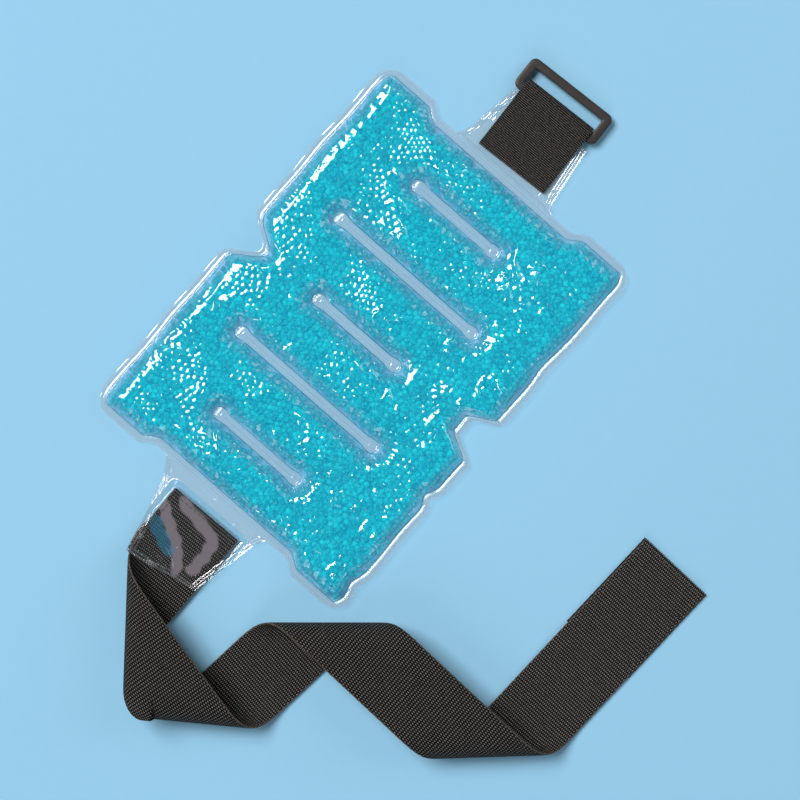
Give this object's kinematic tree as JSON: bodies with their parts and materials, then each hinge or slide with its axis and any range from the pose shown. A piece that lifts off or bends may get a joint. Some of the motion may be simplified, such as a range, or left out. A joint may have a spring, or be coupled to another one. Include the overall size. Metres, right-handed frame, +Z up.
{
  "type": "cold compression wrap",
  "caption": "Gel-bead cold therapy pad in clear welded film with flex slots and waist notches, a buckle tab with a ring, and a long twisted elastic strap with a hook patch",
  "frame": {"origin": "centre of the underside of pad segment 3, the segment on the strap side of the waist, on the plane the wrap rests on", "axes": "+X along the pad from the strap end to the buckle ring, +Y across the pad away from the strap's loose end, +Z up out of the face that goes against the body"},
  "size_m": [0.4623, 0.3617, 0.0284],
  "materials": {
    "film": "clear soft vinyl film, wet-looking gloss with a faint blue-grey cast",
    "gel": "translucent turquoise gel beads about 4 mm across",
    "elastic": "charcoal knitted elastic, ribbed on one side and plush on the other",
    "hook": "dark hook tape",
    "thread": "dark sewing thread",
    "ring_plastic": "satin dark brown-grey moulded plastic"
  },
  "bodies": {
    "pad_segment_3": {"film_top_3": "film", "film_bottom_3": "film", "gel_fill_3": "gel"},
    "pad_segment_1": {"film_top_1": "film", "film_bottom_1": "film", "gel_fill_1": "gel"},
    "pad_segment_2": {"film_top_2": "film", "film_bottom_2": "film", "gel_fill_2": "gel"},
    "pad_segment_4": {"film_top_4": "film", "film_bottom_4": "film", "gel_fill_4": "gel"},
    "pad_segment_5": {"film_top_5": "film", "film_bottom_5": "film", "gel_fill_5": "gel"},
    "pad_segment_6": {"film_top_6": "film", "film_bottom_6": "film", "gel_fill_6": "gel"},
    "buckle_tab": {"buckle_tab_film_top": "film", "buckle_tab_film_bottom": "film", "webbing_loop": "elastic"},
    "ring": {"ring_buckle": "ring_plastic"},
    "strap_tab": {"pocket_film_top": "film", "pocket_film_bottom": "film", "elastic_strap": "elastic", "strap_hem": "elastic", "hem_stitching": "thread", "hook_patch": "hook", "hook_stitching": "thread"}
  },
  "joints": [
    {"name": "waist_fold", "type": "hinge", "parent": "pad_segment_3", "child": "pad_segment_4", "pos_m": [0.023, -0.0015, 0.0035], "axis": [0, -1, 0], "range_deg": [0, 30]},
    {"name": "fold_slot_2", "type": "hinge", "parent": "pad_segment_3", "child": "pad_segment_2", "pos_m": [-0.023, -0.0015, 0.0035], "axis": [0, 1, 0], "range_deg": [0, 30]},
    {"name": "fold_slot_1", "type": "hinge", "parent": "pad_segment_2", "child": "pad_segment_1", "pos_m": [-0.069, -0.0015, 0.0035], "axis": [0, 1, 0], "range_deg": [0, 30]},
    {"name": "fold_slot_4", "type": "hinge", "parent": "pad_segment_4", "child": "pad_segment_5", "pos_m": [0.069, -0.0015, 0.0035], "axis": [0, -1, 0], "range_deg": [0, 30]},
    {"name": "fold_slot_5", "type": "hinge", "parent": "pad_segment_5", "child": "pad_segment_6", "pos_m": [0.115, -0.0015, 0.0035], "axis": [0, -1, 0], "range_deg": [0, 30]},
    {"name": "buckle_tab_flex", "type": "hinge", "parent": "pad_segment_6", "child": "buckle_tab", "pos_m": [0.15515, 0, 0.00425], "axis": [0, -1, 0], "range_deg": [0, 45]},
    {"name": "strap_tab_flex", "type": "hinge", "parent": "pad_segment_1", "child": "strap_tab", "pos_m": [-0.10915, 0.0005, 0.00425], "axis": [0, 1, 0], "range_deg": [0, 45]},
    {"name": "ring_swing", "type": "hinge", "parent": "buckle_tab", "child": "ring", "pos_m": [0.2041, 0.001, 0.0045], "axis": [0.0523, -0.9986, 0], "range_deg": [-6, 150]}
  ]
}
